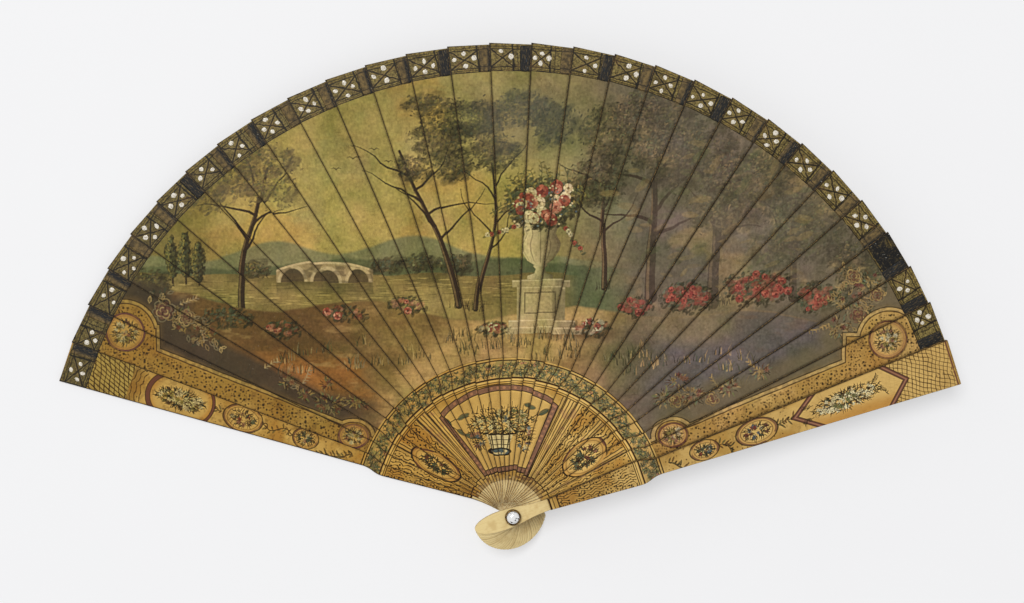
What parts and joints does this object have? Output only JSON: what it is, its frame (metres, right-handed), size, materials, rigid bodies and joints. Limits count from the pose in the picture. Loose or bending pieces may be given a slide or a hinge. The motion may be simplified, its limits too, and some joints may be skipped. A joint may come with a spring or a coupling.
{
  "type": "brise fan",
  "caption": "Open brise fan of thin painted blades and two thicker guards that turn on one stone-set rivet and fold together, tied near their tips by a black ribbon.",
  "frame": {"origin": "on the pivot axis, where the rivet's rear head ends flush with the back guard's outer face", "axes": "+Z along the pivot out of the painted face, +Y along the middle of the open fan to its tips, +X to the right seen from the painted face"},
  "size_m": [0.3806, 0.2149, 0.0276],
  "materials": {
    "painted_blade": "bone, painted in browns, olive greens and gold and varnished; the head is left bare and cream",
    "gilded_guard": "bone, gilded and painted with line ornament and varnished; the head is left bare and cream",
    "black_ribbon": "narrow black silk ribbon",
    "rivet_metal": "old darkened brass",
    "paste": "clear cut paste stone"
  },
  "bodies": {
    "back_guard": {"back_guard": "gilded_guard", "ribbon_link_01": "black_ribbon", "rivet_pin": "rivet_metal", "stone_collet": "rivet_metal", "paste_stone": "paste"},
    "blade_01": {"blade_01": "painted_blade", "ribbon_link_02": "black_ribbon"},
    "blade_02": {"blade_02": "painted_blade", "ribbon_link_03": "black_ribbon"},
    "blade_03": {"blade_03": "painted_blade", "ribbon_link_04": "black_ribbon"},
    "blade_04": {"blade_04": "painted_blade", "ribbon_link_05": "black_ribbon"},
    "blade_05": {"blade_05": "painted_blade", "ribbon_link_06": "black_ribbon"},
    "blade_06": {"blade_06": "painted_blade", "ribbon_link_07": "black_ribbon"},
    "blade_07": {"blade_07": "painted_blade", "ribbon_link_08": "black_ribbon"},
    "blade_08": {"blade_08": "painted_blade", "ribbon_link_09": "black_ribbon"},
    "blade_09": {"blade_09": "painted_blade", "ribbon_link_10": "black_ribbon"},
    "blade_10": {"blade_10": "painted_blade", "ribbon_link_11": "black_ribbon"},
    "blade_11": {"blade_11": "painted_blade", "ribbon_link_12": "black_ribbon"},
    "blade_12": {"blade_12": "painted_blade", "ribbon_link_13": "black_ribbon"},
    "blade_13": {"blade_13": "painted_blade", "ribbon_link_14": "black_ribbon"},
    "blade_14": {"blade_14": "painted_blade", "ribbon_link_15": "black_ribbon"},
    "blade_15": {"blade_15": "painted_blade", "ribbon_link_16": "black_ribbon"},
    "blade_16": {"blade_16": "painted_blade", "ribbon_link_17": "black_ribbon"},
    "blade_17": {"blade_17": "painted_blade", "ribbon_link_18": "black_ribbon"},
    "blade_18": {"blade_18": "painted_blade", "ribbon_link_19": "black_ribbon"},
    "blade_19": {"blade_19": "painted_blade", "ribbon_link_20": "black_ribbon"},
    "blade_20": {"blade_20": "painted_blade", "ribbon_link_21": "black_ribbon"},
    "blade_21": {"blade_21": "painted_blade", "ribbon_link_22": "black_ribbon"},
    "blade_22": {"blade_22": "painted_blade", "ribbon_link_23": "black_ribbon"},
    "blade_23": {"blade_23": "painted_blade", "ribbon_link_24": "black_ribbon"},
    "blade_24": {"blade_24": "painted_blade", "ribbon_link_25": "black_ribbon"},
    "blade_25": {"blade_25": "painted_blade", "ribbon_link_26": "black_ribbon"},
    "blade_26": {"blade_26": "painted_blade", "ribbon_link_27": "black_ribbon"},
    "blade_27": {"blade_27": "painted_blade", "ribbon_link_28": "black_ribbon"},
    "front_guard": {"front_guard": "gilded_guard"}
  },
  "joints": [
    {"name": "front_guard_swing", "type": "hinge", "parent": "back_guard", "child": "front_guard", "pos_m": [0, 0, 0], "axis": [0, 0, 1], "range_deg": [0, 141.68]},
    {"name": "blade_01_swing", "type": "hinge", "parent": "back_guard", "child": "blade_01", "pos_m": [0, 0, 0], "axis": [0, 0, 1], "range_deg": [0, 5.06]},
    {"name": "blade_02_swing", "type": "hinge", "parent": "back_guard", "child": "blade_02", "pos_m": [0, 0, 0], "axis": [0, 0, 1], "range_deg": [0, 10.12]},
    {"name": "blade_03_swing", "type": "hinge", "parent": "back_guard", "child": "blade_03", "pos_m": [0, 0, 0], "axis": [0, 0, 1], "range_deg": [0, 15.18]},
    {"name": "blade_04_swing", "type": "hinge", "parent": "back_guard", "child": "blade_04", "pos_m": [0, 0, 0], "axis": [0, 0, 1], "range_deg": [0, 20.24]},
    {"name": "blade_05_swing", "type": "hinge", "parent": "back_guard", "child": "blade_05", "pos_m": [0, 0, 0], "axis": [0, 0, 1], "range_deg": [0, 25.3]},
    {"name": "blade_06_swing", "type": "hinge", "parent": "back_guard", "child": "blade_06", "pos_m": [0, 0, 0], "axis": [0, 0, 1], "range_deg": [0, 30.36]},
    {"name": "blade_07_swing", "type": "hinge", "parent": "back_guard", "child": "blade_07", "pos_m": [0, 0, 0], "axis": [0, 0, 1], "range_deg": [0, 35.42]},
    {"name": "blade_08_swing", "type": "hinge", "parent": "back_guard", "child": "blade_08", "pos_m": [0, 0, 0], "axis": [0, 0, 1], "range_deg": [0, 40.48]},
    {"name": "blade_09_swing", "type": "hinge", "parent": "back_guard", "child": "blade_09", "pos_m": [0, 0, 0], "axis": [0, 0, 1], "range_deg": [0, 45.54]},
    {"name": "blade_10_swing", "type": "hinge", "parent": "back_guard", "child": "blade_10", "pos_m": [0, 0, 0], "axis": [0, 0, 1], "range_deg": [0, 50.6]},
    {"name": "blade_11_swing", "type": "hinge", "parent": "back_guard", "child": "blade_11", "pos_m": [0, 0, 0], "axis": [0, 0, 1], "range_deg": [0, 55.66]},
    {"name": "blade_12_swing", "type": "hinge", "parent": "back_guard", "child": "blade_12", "pos_m": [0, 0, 0], "axis": [0, 0, 1], "range_deg": [0, 60.72]},
    {"name": "blade_13_swing", "type": "hinge", "parent": "back_guard", "child": "blade_13", "pos_m": [0, 0, 0], "axis": [0, 0, 1], "range_deg": [0, 65.78]},
    {"name": "blade_14_swing", "type": "hinge", "parent": "back_guard", "child": "blade_14", "pos_m": [0, 0, 0], "axis": [0, 0, 1], "range_deg": [0, 70.84]},
    {"name": "blade_15_swing", "type": "hinge", "parent": "back_guard", "child": "blade_15", "pos_m": [0, 0, 0], "axis": [0, 0, 1], "range_deg": [0, 75.9]},
    {"name": "blade_16_swing", "type": "hinge", "parent": "back_guard", "child": "blade_16", "pos_m": [0, 0, 0], "axis": [0, 0, 1], "range_deg": [0, 80.96]},
    {"name": "blade_17_swing", "type": "hinge", "parent": "back_guard", "child": "blade_17", "pos_m": [0, 0, 0], "axis": [0, 0, 1], "range_deg": [0, 86.02]},
    {"name": "blade_18_swing", "type": "hinge", "parent": "back_guard", "child": "blade_18", "pos_m": [0, 0, 0], "axis": [0, 0, 1], "range_deg": [0, 91.08]},
    {"name": "blade_19_swing", "type": "hinge", "parent": "back_guard", "child": "blade_19", "pos_m": [0, 0, 0], "axis": [0, 0, 1], "range_deg": [0, 96.14]},
    {"name": "blade_20_swing", "type": "hinge", "parent": "back_guard", "child": "blade_20", "pos_m": [0, 0, 0], "axis": [0, 0, 1], "range_deg": [0, 101.2]},
    {"name": "blade_21_swing", "type": "hinge", "parent": "back_guard", "child": "blade_21", "pos_m": [0, 0, 0], "axis": [0, 0, 1], "range_deg": [0, 106.26]},
    {"name": "blade_22_swing", "type": "hinge", "parent": "back_guard", "child": "blade_22", "pos_m": [0, 0, 0], "axis": [0, 0, 1], "range_deg": [0, 111.32]},
    {"name": "blade_23_swing", "type": "hinge", "parent": "back_guard", "child": "blade_23", "pos_m": [0, 0, 0], "axis": [0, 0, 1], "range_deg": [0, 116.38]},
    {"name": "blade_24_swing", "type": "hinge", "parent": "back_guard", "child": "blade_24", "pos_m": [0, 0, 0], "axis": [0, 0, 1], "range_deg": [0, 121.44]},
    {"name": "blade_25_swing", "type": "hinge", "parent": "back_guard", "child": "blade_25", "pos_m": [0, 0, 0], "axis": [0, 0, 1], "range_deg": [0, 126.5]},
    {"name": "blade_26_swing", "type": "hinge", "parent": "back_guard", "child": "blade_26", "pos_m": [0, 0, 0], "axis": [0, 0, 1], "range_deg": [0, 131.56]},
    {"name": "blade_27_swing", "type": "hinge", "parent": "back_guard", "child": "blade_27", "pos_m": [0, 0, 0], "axis": [0, 0, 1], "range_deg": [0, 136.62]}
  ],
  "couplings": [
    {"joint": "blade_01_swing", "follows": "front_guard_swing", "ratio": 0.035714},
    {"joint": "blade_02_swing", "follows": "front_guard_swing", "ratio": 0.071429},
    {"joint": "blade_03_swing", "follows": "front_guard_swing", "ratio": 0.10714},
    {"joint": "blade_04_swing", "follows": "front_guard_swing", "ratio": 0.14286},
    {"joint": "blade_05_swing", "follows": "front_guard_swing", "ratio": 0.17857},
    {"joint": "blade_06_swing", "follows": "front_guard_swing", "ratio": 0.21429},
    {"joint": "blade_07_swing", "follows": "front_guard_swing", "ratio": 0.25},
    {"joint": "blade_08_swing", "follows": "front_guard_swing", "ratio": 0.28571},
    {"joint": "blade_09_swing", "follows": "front_guard_swing", "ratio": 0.32143},
    {"joint": "blade_10_swing", "follows": "front_guard_swing", "ratio": 0.35714},
    {"joint": "blade_11_swing", "follows": "front_guard_swing", "ratio": 0.39286},
    {"joint": "blade_12_swing", "follows": "front_guard_swing", "ratio": 0.42857},
    {"joint": "blade_13_swing", "follows": "front_guard_swing", "ratio": 0.46429},
    {"joint": "blade_14_swing", "follows": "front_guard_swing", "ratio": 0.5},
    {"joint": "blade_15_swing", "follows": "front_guard_swing", "ratio": 0.53571},
    {"joint": "blade_16_swing", "follows": "front_guard_swing", "ratio": 0.57143},
    {"joint": "blade_17_swing", "follows": "front_guard_swing", "ratio": 0.60714},
    {"joint": "blade_18_swing", "follows": "front_guard_swing", "ratio": 0.64286},
    {"joint": "blade_19_swing", "follows": "front_guard_swing", "ratio": 0.67857},
    {"joint": "blade_20_swing", "follows": "front_guard_swing", "ratio": 0.71429},
    {"joint": "blade_21_swing", "follows": "front_guard_swing", "ratio": 0.75},
    {"joint": "blade_22_swing", "follows": "front_guard_swing", "ratio": 0.78571},
    {"joint": "blade_23_swing", "follows": "front_guard_swing", "ratio": 0.82143},
    {"joint": "blade_24_swing", "follows": "front_guard_swing", "ratio": 0.85714},
    {"joint": "blade_25_swing", "follows": "front_guard_swing", "ratio": 0.89286},
    {"joint": "blade_26_swing", "follows": "front_guard_swing", "ratio": 0.92857},
    {"joint": "blade_27_swing", "follows": "front_guard_swing", "ratio": 0.96429}
  ]
}
